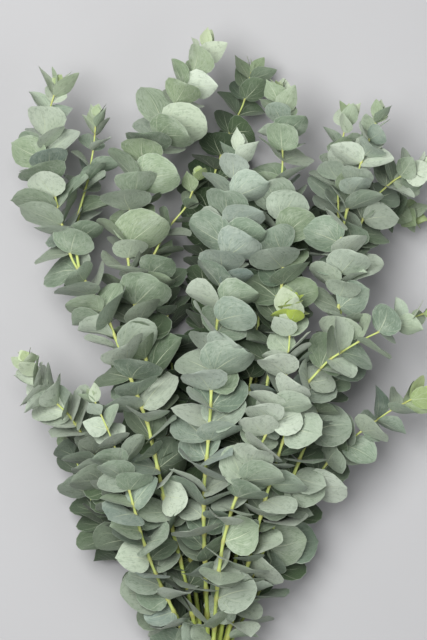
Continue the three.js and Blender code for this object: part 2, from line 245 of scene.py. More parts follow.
def makeStemMaterial():
    looks = {
        "young": (0.52, 0.61, 0.19), "old": (0.37, 0.46, 0.085), "bark": (0.17, 0.115, 0.065),
        "bloom": (0.42, 0.46, 0.33), "joint": (0.30, 0.15, 0.07), "pip": (0.46, 0.42, 0.28),
        "wood": (0.62, 0.54, 0.34), "pith": (0.42, 0.34, 0.17),
    }
    material, bench, shader = newMaterial("eucalyptusStem", {"Specular IOR Level": 0.4})
    here = bench.node("ShaderNodeTexCoord", {}, output="Object")
    fibre = bench.node("ShaderNodeMapping", {}, {"Vector": here, "Scale": (420.0, 34.0, 420.0)})
    streak = bench.noise(fibre, 1.0, 4.0, 0.65)
    patch = bench.noise(here, 38.0, 3.0)
    share, joint = bench.attribute("stemShare"), bench.attribute("stemJoint")
    centre = bench.attribute("stemCentre")
    older = bench.between(share + (patch - 0.5) * 0.25, 0.55, 0.12)
    colour = bench.blendColours(older, looks["young"], looks["old"])
    woody = bench.between(share + (patch - 0.5) * 0.12 + (streak - 0.5) * 0.1, 0.17, 0.03)
    colour = bench.blendColours(woody * 0.8, colour, looks["bark"])
    colour = bench.blendColours(bench.between(streak, 0.5, 0.75) * 0.25, colour, looks["bloom"])
    colour = bench.blendColours(bench.between(streak, 0.45, 0.25) * 0.35, colour, looks["bark"])
    colour = bench.blendColours(joint * 0.3, colour, looks["joint"])
    pips = bench.node("ShaderNodeTexVoronoi", {"feature": "F1"},
                      {"Vector": bench.node("ShaderNodeMapping", {},
                                            {"Vector": here, "Scale": (330.0, 150.0, 330.0)}),
                       "Scale": 1.0})
    pip = bench.between(pips, 0.24, 0.12) * older
    colour = bench.blendColours(pip * 0.6, colour, looks["pip"])
    cut = bench.between(share, 0.0006, 0.0001) * bench.between(centre, 0.0, 0.4)
    ring = bench.blendColours(bench.between(centre, 0.6, 1.0), looks["wood"], looks["pith"])
    colour = bench.blendColours(cut, colour, ring)
    height = streak * 0.6 + pip * 0.5
    bump = bench.node("ShaderNodeBump", {}, {"Strength": 0.4, "Distance": 0.0005, "Height": height})
    feed(bench, shader, Base_Color=colour, Normal=bump, Roughness=0.5 + streak * 0.2 + woody * 0.15)
    return material


def ringTheCuts(piece, rings):
    # The cut ends: bark outside, pale wood inside it, and pith in the middle.
    mesh = bmesh.new()
    mesh.from_mesh(piece.data)
    share, centre = mesh.verts.layers.float["stemShare"], mesh.verts.layers.float.new("stemCentre")
    for face in [f for f in mesh.faces if max(v[share] for v in f.verts) < 1e-6]:
        face.smooth = False
        for edge in face.edges:
            edge.smooth = False
        for inset, level in rings:
            bmesh.ops.inset_individual(mesh, faces=[face], thickness=inset)
            for vert in face.verts:
                vert[centre] = level
    mesh.to_mesh(piece.data)
    mesh.free()


def makeBandMaterial():
    looks = {"rubber": (0.50, 0.27, 0.11), "worn": (0.62, 0.42, 0.23), "dusty": (0.55, 0.47, 0.36)}
    material, bench, shader = newMaterial("naturalRubber", {
        "Specular IOR Level": 0.45, "Subsurface Weight": 0.05, "Subsurface Scale": 0.002,
    })
    here = bench.node("ShaderNodeTexCoord", {}, output="Object")
    split = bench.node("ShaderNodeSeparateXYZ", {}, {0: here})
    cloud = bench.noise(here, 220.0, 4.0, 0.6)
    fine = bench.noise(here, 1500.0, 2.0)
    ridge = abs((split.of("Y") * 900 + cloud * 0.6).fraction() - 0.5) * 2
    colour = bench.blendColours(bench.between(cloud, 0.4, 0.7), looks["rubber"], looks["worn"])
    colour = bench.blendColours(bench.between(fine, 0.5, 0.8) * 0.4, colour, looks["dusty"])
    bump = bench.node("ShaderNodeBump", {},
                      {"Strength": 0.3, "Distance": 0.0003, "Height": ridge * 0.5 + fine * 0.4})
    feed(bench, shader, Base_Color=colour, Normal=bump, Roughness=0.48 + cloud * 0.25)
    return material


def newTree(name, sockets):
    tree = bpy.data.node_groups.new(name, "GeometryNodeTree")
    tree.interface.new_socket("Geometry", in_out="INPUT", socket_type="NodeSocketGeometry")
    for label, kind in sockets.items():
        tree.interface.new_socket(label, in_out="INPUT", socket_type="NodeSocket" + kind)
    tree.interface.new_socket("Geometry", in_out="OUTPUT", socket_type="NodeSocketGeometry")
    bench = Bench(tree)
    start = bench.node("NodeGroupInput")
    return tree, bench, start


def closeTree(bench, shape):
    end = bench.tree.nodes.new("NodeGroupOutput")
    bench.tree.links.new(shape.socket, end.inputs[0])


def named(bench, name, kind="FLOAT"):
    return bench.node("GeometryNodeInputNamedAttribute", {"data_type": kind}, {"Name": name})


def makeLeafTree():
    # Puts one of the blade shapes on each point, then ruffles all the blades a little.
    tree, bench, start = newTree("leavesOnPoints", {
        "Blades": "Collection", "Ruffle": "Float", "Ruffle size": "Float", "Bend height": "Float",
        "Material": "Material",
    })
    blades = bench.node("GeometryNodeCollectionInfo", {},
                        {"Collection": start.of("Blades"), "Separate Children": True,
                         "Reset Children": True})
    leaves = bench.node("GeometryNodeInstanceOnPoints", {}, {
        "Points": start, "Instance": blades, "Pick Instance": True,
        "Instance Index": named(bench, "leafKind", "INT"),
        "Rotation": named(bench, "leafTurn", "QUATERNION"),
        "Scale": named(bench, "leafSize", "FLOAT_VECTOR"),
    })
    real = bench.node("GeometryNodeRealizeInstances", {}, {"Geometry": leaves})
    spot = bench.node("GeometryNodeInputPosition")
    cloud = bench.node("ShaderNodeTexNoise", {},
                       {"Vector": spot, "Scale": start.of("Ruffle size"), "Detail": 1.0},
                       output="Color")
    shift = bench.node("ShaderNodeVectorMath", {"operation": "SUBTRACT"},
                       {0: cloud, 1: (0.5, 0.5, 0.5)})
    fromBase = bench.node("ShaderNodeSeparateXYZ", {}, {0: named(bench, "UVMap", "FLOAT_VECTOR")})
    shift = bench.node("ShaderNodeVectorMath", {"operation": "SCALE"},
                       {0: shift, "Scale": fromBase * start.of("Ruffle")})
    ruffled = bench.node("GeometryNodeSetPosition", {}, {"Geometry": real, "Offset": shift})

    # Leaves that would reach the table bend along it, closer and closer but never through it
    spread = bench.node("ShaderNodeSeparateXYZ", {}, {0: spot})
    low = start.of("Bend height")
    sunk = (spread.of("Z").reckon("MINIMUM", spread.of("Z"), low) - low) / low
    height = sunk.reckon("MAXIMUM", spread.of("Z"), sunk.reckon("EXPONENT", sunk) * low)
    rest = bench.node("ShaderNodeCombineXYZ", {}, {0: spread.of("X"), 1: spread.of("Y"), 2: height})
    laid = bench.node("GeometryNodeSetPosition", {}, {"Geometry": ruffled, "Position": rest})
    dressed = bench.node("GeometryNodeSetMaterial", {},
                         {"Geometry": laid, "Material": start.of("Material")})
    closeTree(bench, dressed)
    return tree


def makeStemTree():
    # Sweeps a round section along each line of points, as thick as the line says.
    tree, bench, start = newTree("stemsOnLines", {"Sides": "Int", "Material": "Material"})
    line = bench.node("GeometryNodeMeshToCurve", {}, {"Mesh": start})
    line = bench.node("GeometryNodeSetCurveRadius", {},
                      {"Curve": line, "Radius": named(bench, "stemRadius")})
    section = bench.node("GeometryNodeCurvePrimitiveCircle", {},
                         {"Resolution": start.of("Sides"), "Radius": 1.0})
    stems = bench.node("GeometryNodeCurveToMesh", {},
                       {"Curve": line, "Profile Curve": section, "Fill Caps": True})
    if "Scale" in stems.socket.node.inputs:
        bench.tree.links.new(named(bench, "stemRadius").socket, stems.socket.node.inputs["Scale"])
    real = bench.node("GeometryNodeRealizeInstances", {}, {"Geometry": stems})
    smooth = bench.node("GeometryNodeSetShadeSmooth", {}, {"Geometry": real})
    dressed = bench.node("GeometryNodeSetMaterial", {},
                         {"Geometry": smooth, "Material": start.of("Material")})
    closeTree(bench, dressed)
    return tree


def runTree(tree, mesh, inputs, name):
    # Evaluates a tree on a mesh and keeps the result as a plain mesh object.
    carrier = bpy.data.objects.new(name + "Carrier", mesh)
    bpy.context.scene.collection.objects.link(carrier)
    modifier = carrier.modifiers.new("nodes", "NODES")
    modifier.node_group = tree
    idents = {item.name: item.identifier for item in tree.interface.items_tree
              if item.in_out == "INPUT"}
    for label, value in inputs.items():
        modifier[idents[label]] = value
    view = bpy.context.evaluated_depsgraph_get()
    result = bpy.data.meshes.new_from_object(carrier.evaluated_get(view), depsgraph=view)
    carrier.modifiers.remove(modifier)
    bpy.data.objects.remove(carrier)
    result.name = name
    piece = bpy.data.objects.new(name, result)
    bpy.context.scene.collection.objects.link(piece)
    return piece


# A packed leaf: its thickness in metres, where it is thickest, its fold and bend, its
# width against its length, young and old, and its rim, old and young. Then how it is found:
# the welding distance, how near the thickness and the rim have to be, and how many rim
# points have to match.
packedBlade = {
    "thickness": 0.0012, "middle": 0.42, "fold": 0.2, "bend": 0.08, "slim": 0.5, "stout": 0.67,
    "weld": 2e-6, "thinnest": 0.98, "thickest": 1.02, "oldest": 1.02, "rimFrom": 0.2,
    "nearRim": 0.02, "fewestHits": 3,
    "oldRim": [(0.2, 0.72), (0.48, 1), (0.84, 0.66), (1, 0)],
    "youngRim": [(0.17, 0.55), (0.38, 1), (0.7, 0.62), (1, 0)],
}


def fitBlade(rim, top, bottom, cfg):
    # The lie of one packed leaf, from its two middle points and the rim points around them.
    middle = (top + bottom) / 2
    best = None
    for up in ((top - bottom).normalized(), (bottom - top).normalized()):
        for tip in rim:
            flat = tip - middle
            flat -= up * flat.dot(up)
            length = flat.length / (1 - cfg["middle"])
            along = flat.normalized()
            across = up.cross(along)
            sink = up * cfg["bend"] * cfg["middle"] ** 2 * length
            base = middle - along * cfg["middle"] * length + sink
            local = [((p - base).dot(along) / length, abs((p - base).dot(across)) / length,
                      (p - base).dot(up) / length) for p in rim]
            for half in {round(y, 5) for _, y, _ in local if y > cfg["rimFrom"]}:
                age = (half * 2 - cfg["slim"]) / cfg["stout"]
                if not 0 < age < cfg["oldest"]:
                    continue
                corners = [(a + (c - a) * (1 - age), (b + (d - b) * (1 - age)) * half)
                           for (a, b), (c, d) in zip(cfg["oldRim"], cfg["youngRim"])]
                gaps = [min(abs(x - a) + abs(y - b) + abs(z - cfg["fold"] * b + cfg["bend"] * a * a)
                            for a, b in corners) for x, y, z in local]
                hits = sum(gap < cfg["nearRim"] for gap in gaps)
                if best is None or hits > best["hits"]:
                    best = {"hits": hits, "base": base, "length": length, "age": age,
                            "width": 2 * half * length, "axes": (along, across, up)}
    return best


def readLeaves(node, cfg):
    # Every leaf of a packed branch. A blade's two middle points face each other across its
    # thickness, and the points next to both are its rim.
    shell = bmesh.new()
    shell.from_mesh(node.data)
    bmesh.ops.remove_doubles(shell, verts=shell.verts, dist=cfg["weld"])
    shell.verts.ensure_lookup_table()
    near = [{edge.other_vert(vert).index for edge in vert.link_edges} for vert in shell.verts]
    spots = [vert.co.copy() for vert in shell.verts]
    shell.free()
    tree = KDTree(len(spots))
    for i, spot in enumerate(spots):
        tree.insert(spot, i)
    tree.balance()
    leaves = []
    for i, top in enumerate(spots):
        for bottom, j, gap in tree.find_range(top, cfg["thickness"] * cfg["thickest"]):
            if j <= i or gap <= cfg["thickness"] * cfg["thinnest"] or j in near[i]:
                continue
            rim = near[i] & near[j]
            if len(rim) < cfg["fewestHits"]:
                continue
            leaf = fitBlade([spots[k] for k in rim], top, bottom, cfg)
            if leaf and leaf["hits"] >= cfg["fewestHits"]:
                leaves.append(leaf)
    return leaves


# The blades' outlines. Each row: the midrib's place, the rim's place and the half width.
bladeOutlines = {
    "kidney": [(-0.05, -0.05, 0), (0.0, -0.03, 0.08), (0.07, -0.05, 0.44), (0.16, 0.01, 0.74),
               (0.28, 0.18, 0.94), (0.44, 0.41, 1.0), (0.62, 0.64, 0.93), (0.79, 0.84, 0.70),
               (0.91, 0.955, 0.40), (0.965, 0.985, 0.17), (0.985, 0.985, 0)],
    "round": [(-0.05, -0.05, 0), (0.0, -0.01, 0.07), (0.07, -0.01, 0.36), (0.16, 0.06, 0.66),
              (0.28, 0.22, 0.89), (0.44, 0.43, 1.0), (0.62, 0.66, 0.91), (0.79, 0.84, 0.66),
              (0.91, 0.945, 0.38), (0.975, 0.985, 0.17), (1.0, 1.0, 0)],
    "broad": [(-0.05, -0.05, 0), (0.0, 0.0, 0.06), (0.07, 0.01, 0.30), (0.16, 0.09, 0.60),
              (0.28, 0.24, 0.86), (0.44, 0.44, 0.99), (0.62, 0.65, 0.93), (0.79, 0.83, 0.66),
              (0.91, 0.935, 0.35), (0.98, 0.985, 0.12), (1.03, 1.03, 0)],
    "egg": [(-0.06, -0.06, 0), (0.0, 0.0, 0.06), (0.07, 0.01, 0.34), (0.16, 0.09, 0.64),
            (0.28, 0.24, 0.90), (0.44, 0.42, 1.0), (0.60, 0.61, 0.85), (0.76, 0.78, 0.56),
            (0.89, 0.90, 0.32), (0.97, 0.975, 0.12), (1.01, 1.01, 0)],
    "lance": [(-0.06, -0.06, 0), (0.0, 0.0, 0.06), (0.08, 0.05, 0.22), (0.18, 0.15, 0.55),
              (0.30, 0.28, 0.88), (0.44, 0.42, 1.0), (0.60, 0.59, 0.80), (0.76, 0.76, 0.46),
              (0.90, 0.90, 0.16), (1.02, 1.02, 0)],
}
# How each blade is curved: folded up along its midrib, bent down to its tip, its edge
# curled, its sides waved (height, waves, start), its tip leaning, and twisted.
bladeHabits = ("fold", "bend", "curl", "wave", "lean", "twist")
bladeShapes = [
    ("kidney", 0.11, 0.08, 0.02, (0.02, 0.9, 0.4), 0.02, 0.03),
    ("kidney", 0.2, 0.02, -0.04, (0.03, 1.1, 2.0), -0.03, -0.05),
    ("round", 0.05, 0.14, 0.05, (0.02, 1.3, 4.0), 0.03, 0.06),
    ("round", 0.15, 0.06, -0.07, (0.035, 0.8, 1.2), -0.02, -0.02),
    ("broad", 0.24, 0.1, 0.0, (0.02, 1.5, 5.0), 0.03, 0.04),
    ("broad", 0.08, 0.16, -0.03, (0.03, 1.0, 3.0), -0.04, -0.06),
    ("egg", 0.13, 0.1, 0.01, (0.02, 1.1, 1.2), -0.02, 0.03),
    ("egg", 0.07, 0.05, -0.03, (0.02, 1.0, 3.1), 0.03, -0.04),
    ("lance", 0.08, 0.05, 0.0, (0.0, 1.0, 0.0), -0.02, 0.02),
]


def makeBlade(name, outline, shape):
    # One closed blade, a unit long and a unit wide, with its base at the origin.
    columns = (-1, -0.6, 0, 0.6, 1)
    height, waves, begin = shape["wave"]
    mesh = bmesh.new()
    uvLayer = mesh.loops.layers.uv.new("UVMap")
    underLayer = mesh.faces.layers.float.new("leafUnder")
    rows = []
    for middleX, rimX, half in outline:
        row = []
        for v in columns if half else (0,):
            x = middleX + (rimX - middleX) * v * v
            y = 0.5 * half * v + shape["lean"] * math.sin(math.pi * max(x, 0))
            z = shape["fold"] * half * (0.35 * abs(v) + 0.65 * v * v) - shape["bend"] * x * x
            z += shape["curl"] * half * v ** 4 + shape["twist"] * x * half * v
            z += height * v * half * math.sin(math.tau * waves * x + begin)
            rim = not half or abs(v) == 1
            lift = 0 if rim else 0.009 * (1 - v * v) * min(1, 8 * half)
            top = mesh.verts.new((x, y, z + lift))
            row.append((top, top if rim else mesh.verts.new((x, y, z - lift)), v))
        rows.append((middleX, row if half else row * len(columns)))
    for (firstX, first), (secondX, second) in zip(rows, rows[1:]):
        for c in range(len(columns) - 1):
            for side in (0, 1):
                corners = [(first[c], firstX, columns[c]), (second[c], secondX, columns[c]),
                           (second[c + 1], secondX, columns[c + 1]),
                           (first[c + 1], firstX, columns[c + 1])]
                kept = [(entry[side], x, v) for k, (entry, x, v) in enumerate(corners)
                        if entry[side] is not corners[k - 1][0][side]]
                face = mesh.faces.new([vert for vert, _, _ in (kept[::-1] if side else kept)])
                face.smooth = True
                face[underLayer] = float(side)
                for corner in face.loops:
                    x, v = next((x, v) for vert, x, v in kept if vert is corner.vert)
                    corner[uvLayer].uv = (x, (v + 1) / 2)
    for edge in mesh.edges:
        edge.smooth = len({face[underLayer] for face in edge.link_faces}) == 1
    bmesh.ops.recalc_face_normals(mesh, faces=mesh.faces)
    blade = bpy.data.meshes.new(name)
    mesh.to_mesh(blade)
    mesh.free()
    return bpy.data.objects.new(name, blade)


# Which of the shapes above a leaf may have, by its age: full-grown, half-grown and young.
bladeAges = {"grown": 0.8, "half": 0.4, "grownShapes": 6, "halfShapes": (2, 4, 6, 7),
             "youngShapes": (7, 8)}


def pickBlade(age, dice):
    if age > bladeAges["grown"]:
        return dice.randrange(bladeAges["grownShapes"])
    return dice.choice(bladeAges["halfShapes" if age > bladeAges["half"] else "youngShapes"])


def pointMesh(name, leaves):
    # A mesh of loose points that carries how each leaf lies and looks.
    mesh = bpy.data.meshes.new(name)
    mesh.from_pydata([leaf["base"] for leaf in leaves], [], [])
    columns = {"leafKind": ("INT", "value"), "leafTurn": ("QUATERNION", "value"),
               "leafSize": ("FLOAT_VECTOR", "vector"), "leafFresh": ("FLOAT", "value"),
               "leafTint": ("FLOAT", "value"), "leafShade": ("FLOAT", "value"),
               "leafPaintedShade": ("FLOAT", "value")}
    for key, (kind, field) in columns.items():
        layer = mesh.attributes.new(key, kind, "POINT")
        for entry, leaf in zip(layer.data, leaves):
            setattr(entry, field, leaf[key])
    return mesh


# Each stem's seat in the band (x, z), how green, how pale and how fresh at the tip its
# leaves are, its route from above the band to its tip, and the routes of its side shoots.
# The low paleness of branch_middle, branch_back_left and branch_top_middle, which lie lowest in the
# bunch, is partly painted shade
branches = {
    "branch_centre_front": {"seat": (0, 5.1), "tint": 0.35, "pale": 0.58, "fresh": 0.1,
        "routes": [[
        (0, 84, 56), (-3, 165, 92), (-4, 245, 126), (2, 310, 140), (5, 375, 145),
        (13, 445, 145), (21, 520, 138), (27, 565, 132), (31, 600, 128)]]},
    "branch_right_front": {"seat": (3, 10.2), "tint": 0.6, "pale": 0.82, "fresh": 0.5,
        "routes": [[
        (7, 94, 70), (11, 152, 102), (15, 185, 118), (27, 231, 134), (42, 268, 144),
        (58, 298, 148), (75, 338, 150), (83, 380, 152), (84, 438, 154)]]},
    "branch_left_front": {"seat": (-6, 5.1), "tint": 0.45, "pale": 0.45, "fresh": 0.1,
        "routes": [[
        (-26, 84, 58), (-44, 128, 84), (-62, 172, 108), (-74, 215, 124), (-86, 262, 134),
        (-102, 305, 140), (-118, 340, 142)]]},
    "branch_left_arch": {"seat": (-3, 10.2), "tint": 0.6, "pale": 0.58, "fresh": 0.15,
        "routes": [[
        (-13, 84, 51), (-30, 170, 84), (-48, 242, 104), (-62, 310, 114), (-80, 358, 118),
        (-109, 432, 116), (-140, 478, 110), (-160, 550, 100), (-174, 605, 94), (-159, 668, 90)],
        [(-134, 471, 111), (-140, 502, 96), (-136, 535, 86), (-127, 568, 82),
         (-121, 602, 80), (-118, 636, 82)]]},
    "branch_right_twig": {"seat": (6, 5.1), "tint": 0.55, "pale": 0.6, "fresh": 0.6,
        "routes": [[
        (22, 84, 54), (42, 160, 86), (62, 240, 112), (80, 300, 126), (98, 349, 134),
        (125, 379, 138), (147, 395, 136), (176, 404, 130), (203, 421, 124), (228, 428, 120)]]},
    "branch_low_left": {"seat": (-9, 0), "tint": 0.6, "pale": 0.95, "fresh": 0.3,
        "routes": [[
        (-30, 84, 46), (-56, 135, 58), (-80, 185, 72), (-102, 235, 84), (-121, 280, 94),
        (-138, 312, 102), (-160, 335, 110), (-178, 353, 116), (-188, 378, 120)]]},
    "branch_top_left": {"seat": (-3, 0), "tint": 0.9, "pale": 0.5, "fresh": 0.3,
        "routes": [[
        (-8, 84, 42), (-19, 168, 62), (-36, 252, 76), (-56, 336, 84), (-72, 410, 90),
        (-83, 470, 95), (-84, 520, 100), (-70, 575, 104), (-47, 625, 104), (-18, 675, 100),
        (-2, 712, 96)],
        [(-73, 418, 90.5), (-66, 455, 82), (-52, 505, 76), (-30, 530, 78),
         (-18, 548, 82), (-10, 572, 86)]]},
    "branch_top_right": {"seat": (3, 0), "tint": 0.7, "pale": 0.42, "fresh": 0.2,
        "routes": [[
        (14, 84, 50), (30, 168, 76), (45, 252, 96), (59, 336, 110), (71, 410, 117),
        (79, 480, 118), (75, 540, 114), (79, 600, 110), (74, 660, 106)]]},
    "branch_right": {"seat": (9, 0), "tint": 0.55, "pale": 0.66, "fresh": 0.2,
        "routes": [[
        (20, 84, 45), (42, 135, 60), (65, 190, 76), (88, 250, 90), (106, 300, 100),
        (122, 356, 107), (134, 405, 111), (138, 470, 112), (136, 540, 112), (138, 595, 108),
        (147, 635, 104)],
        [(134, 403, 110.8), (143, 445, 98), (153, 492, 90), (164, 532, 90),
         (181, 558, 92), (206, 573, 94), (232, 584, 96)],
        [(137.5, 500, 112.2), (146, 540, 124), (158, 580, 130), (168, 610, 132),
         (177, 632, 132)]]},
    # Paleness lowered partly as painted shade
    "branch_middle": {"seat": (0, -5.1), "tint": 0.35, "pale": 0.28, "fresh": 0.1,
        "routes": [[
        (6, 84, 41), (16, 150, 56), (27, 225, 72), (38, 300, 84), (48, 378, 92),
        (56, 440, 96), (55, 500, 96), (45, 565, 94)]]},
    "branch_low_right": {"seat": (6, -5.1), "tint": 0.5, "pale": 0.5, "fresh": 0.7,
        "routes": [[
        (29, 84, 37), (48, 114, 44), (67, 155, 53), (85, 193, 61), (104, 232, 68),
        (122, 264, 73), (141, 285, 77), (161, 301, 79), (192, 323, 78), (212, 335, 76),
        (226, 341, 74)]]},
    # Paleness lowered partly as painted shade
    "branch_back_left": {"seat": (-6, -5.1), "tint": 0.4, "pale": 0.12, "fresh": 0.1,
        "routes": [[
        (-10, 84, 34), (-17, 168, 40), (-27, 252, 44), (-35, 315, 46), (-40, 389, 50),
        (-45, 441, 52), (-52, 490, 54)]]},
    "branch_outer_left": {"seat": (-9, -10.2), "tint": 0.55, "pale": 0.6, "fresh": 0.3,
        "routes": [[
        (-25, 84, 31), (-51, 126, 35), (-80, 158, 38), (-101, 185, 40), (-119, 212, 42),
        (-132, 240, 44), (-142, 270, 47), (-150, 308, 50)]]},
    # Paleness lowered partly as painted shade
    "branch_top_middle": {"seat": (-3, -10.2), "tint": 0.6, "pale": 0.25, "fresh": 0.2,
        "routes": [[
        (-2, 84, 28), (-4, 210, 36), (-6, 330, 41), (-3, 450, 43), (2, 545, 42),
        (14, 603, 40), (34, 640, 38), (48, 692, 36)]]},
    "branch_right_arch": {"seat": (3, -10.2), "tint": 0.65, "pale": 0.5, "fresh": 0.4,
        "routes": [[
        (10, 84, 27), (24, 160, 33), (38, 260, 38), (52, 357, 41), (62, 430, 42),
        (76, 482, 42), (98, 510, 42), (125, 522, 41), (160, 536, 40), (196, 545, 38),
        (224, 532, 36)]]},
}
stemSizes = {"foot": 0.0029, "shootFoot": 0.0016, "tip": 0.0007, "step": 0.003,
             "sides": 10, "swelling": 0.3, "jointReach": 0.0022,
             "shootShare": 0.6, "chord": 0.04, "footSpread": 1.3, "footHeight": 16.5,
             "rings": ((0.0004, 0.5), (0.0012, 0.6), (0.0005, 1)), "smooth": 400, "tube": 0.0022}


def curveThrough(points, count):
    # Evenly spaced points on a centripetal Catmull-Rom curve.
    steps = 60  # between two of the points
    points = [Vector(p) for p in points]
    points = [points[0] * 2 - points[1]] + points + [points[-1] * 2 - points[-2]]
    fine = []
    for p0, p1, p2, p3 in zip(points, points[1:], points[2:], points[3:]):
        d0, d1, d2 = [(b - a).length ** 0.5 for a, b in ((p0, p1), (p1, p2), (p2, p3))]
        t1 = ((p1 - p0) / d0 - (p2 - p0) / (d0 + d1) + (p2 - p1) / d1) * d1
        t2 = ((p2 - p1) / d1 - (p3 - p1) / (d1 + d2) + (p3 - p2) / d2) * d1
        for k in range(steps):
            t = k / steps
            fine.append(p1 + t1 * t + (3 * (p2 - p1) - 2 * t1 - t2) * t * t
                        + (2 * (p1 - p2) + t1 + t2) * t ** 3)
    fine.append(points[-2])
    return evenly(fine, count)


def evenly(line, count):
    travelled = [0.0]
    for a, b in zip(line, line[1:]):
        travelled.append(travelled[-1] + (b - a).length)
    out, k = [], 0
    for i in range(count + 1):
        want = travelled[-1] * i / count
        while k < len(line) - 2 and travelled[k + 1] < want:
            k += 1
        span = travelled[k + 1] - travelled[k]
        out.append(line[k].lerp(line[k + 1], (want - travelled[k]) / span if span else 0))
    return out


def lengthOf(line):
    return sum((b - a).length for a, b in zip(line, line[1:]))


def stemLine(route, cfg):
    # The stem's middle line: straight between knots, as it was packed, then eased.
    smooth = curveThrough(route, cfg["smooth"])
    knots = evenly(smooth, math.ceil(lengthOf(smooth) / cfg["chord"]))
    line = evenly(knots, math.ceil(lengthOf(knots) / cfg["step"]))
    eased = [sum(line[max(i - 2, 0):i + 3], Vector()) / len(line[max(i - 2, 0):i + 3])
             for i in range(len(line))]
    return [line[0]] + eased[1:-1] + [line[-1]]


def stemMesh(name, grown, cfg):
    # Lines of points with the stem's radius, its share of the way up and its joints.
    spots, edges, radii, shares, joints = [], [], [], [], []
    for k, line in enumerate(grown["lines"]):
        start = len(spots)
        for i, spot in enumerate(line):
            share = i / (len(line) - 1)
            gap = min((leaf["base"] - spot).length for leaf in grown["leaves"])
            radius = stemRadius(k, share)
            joint = math.exp(-((max(gap - radius, 0) / cfg["jointReach"]) ** 2))
            spots.append(spot)
            radii.append(radius * (1 + cfg["swelling"] * joint))
            shares.append(share if k == 0 else cfg["shootShare"] * (1 - share) + share)
            joints.append(joint)
            if i:
                edges.append((start + i - 1, start + i))
    mesh = bpy.data.meshes.new(name)
    mesh.from_pydata(spots, edges, [])
    for key, values in {"stemRadius": radii, "stemShare": shares, "stemJoint": joints}.items():
        mesh.attributes.new(key, "FLOAT", "POINT").data.foreach_set("value", values)
    return mesh


# Leaf pairs stand this far apart along a stem, old and young, and none grow lower than
# this. A leaf is tried many times, smaller after every tenth, and it may cut through this
# many others. Angles are in degrees: the lift of a bud, more for age, and chance changes.
growth = {"seed": 5, "spacing": 0.0175, "youngSpacing": 0.008, "lowest": 0.066, "tries": 30,
          "size": (0.84, 1.04), "shrink": 0.88, "shrinkAfter": 10, "floor": 0.0015,
          "merge": 0.005, "allowed": 0, "choices": 3, "youngAge": 0.75, "youngAllowed": 1,
          "youngSize": 0.4, "lift": (28, 36), "liftChance": (-18, 16), "roll": (-42, 42),
          "turn": (-0.5, 0.5),
          "bushy": {"branch_low_left": 0.62, "branch_right": 0.8, "branch_right_arch": 0.75}}
# The leaves at a tip: steps back from it, length and lift.
tips = {"plain": [(0, 0.009, 14)], "tuftOn": "branch_right_front",
        "tuft": [(0, 0.012, 8), (0, 0.013, 34), (1, 0.015, 20), (1, 0.016, 56), (2, 0.018, 38),
                 (3, 0.020, 62), (4, 0.022, 46), (5, 0.023, 72), (7, 0.023, 58)],
        "width": 0.9, "turn": 1.3, "lift": (-6, 6), "roll": (-0.4, 0.4), "size": (0.9, 1.1),
        "tuftAge": 0.6, "budAge": 0.1, "tuftGreen": 0.85, "budGreen": 0.12}
bladeSketch = [(0.14, 0.6), (0.4, 1.0), (0.65, 0.9), (0.85, 0.6), (1.0, 0.05)]


def leafOn(line, i, radius, way, age, length, width):
    # A leaf on a stem: turned round it from the front, lifted from it, and rolled.
    turn, lift, roll = way
    along = (line[min(i + 2, len(line) - 1)] - line[max(i - 2, 0)]).normalized()
    front = (Vector((0, 0, 1)) - along * along.z).normalized()
    outward = front * math.cos(turn) + along.cross(front) * math.sin(turn)
    tipward = along * math.cos(lift) + outward * math.sin(lift)
    across = Matrix.Rotation(roll, 3, tipward) @ along.cross(outward)
    return {"base": line[i] + outward * radius, "length": length, "width": width, "age": age,
            "axes": (tipward, across, tipward.cross(across))}


def sketch(leaf):
    # A rough sheet in the leaf's place, to tell which leaves would meet.
    along, across, up = leaf["axes"]
    spots = []
    for x, half in bladeSketch:
        for v in (-1, 0, 1):
            y = v * half * leaf["width"] / 2
            z = packedBlade["fold"] * abs(y) - packedBlade["bend"] * x * x * leaf["length"]
            spots.append(leaf["base"] + along * x * leaf["length"] + across * y + up * z)
    faces = [(r + c, r + c + 1, r + c + 4, r + c + 3)
             for r in range(0, len(spots) - 3, 3) for c in (0, 1)]
    leaf["sheet"] = BVHTree.FromPolygons(spots, faces)
    leaf["lowest"] = min(spot.z for spot in spots)
    leaf["middle"] = leaf["base"] + along * leaf["length"] / 2
    leaf["reach"] = 0.5 * math.hypot(leaf["length"], leaf["width"])
    return leaf


def crowding(leaf, others, tubes):
    # How many leaves and stems a leaf would cut through.
    if leaf["lowest"] < growth["floor"]:
        return 99
    near = [other["sheet"] for other in others
            if (other["middle"] - leaf["middle"]).length < other["reach"] + leaf["reach"]]
    return sum(bool(leaf["sheet"].overlap(sheet)) for sheet in near + tubes)


def tube(line, radius):
    # A three-sided tube round a stem, as rough as the leaf sheets.
    spots, faces = [], []
    for spot in line[::3]:
        for x, z in ((1, 0), (-0.5, 0.87), (-0.5, -0.87)):
            spots.append(spot + Vector((x, 0, z)) * radius)
    for r in range(0, len(spots) - 3, 3):
        faces += [(r + c, r + (c + 1) % 3, r + (c + 1) % 3 + 3, r + c + 3) for c in range(3)]
    return BVHTree.FromPolygons(spots, faces)


def stemRadius(k, share):
    foot = stemSizes["foot"] if k == 0 else stemSizes["shootFoot"]
    return foot + (stemSizes["tip"] - foot) * share


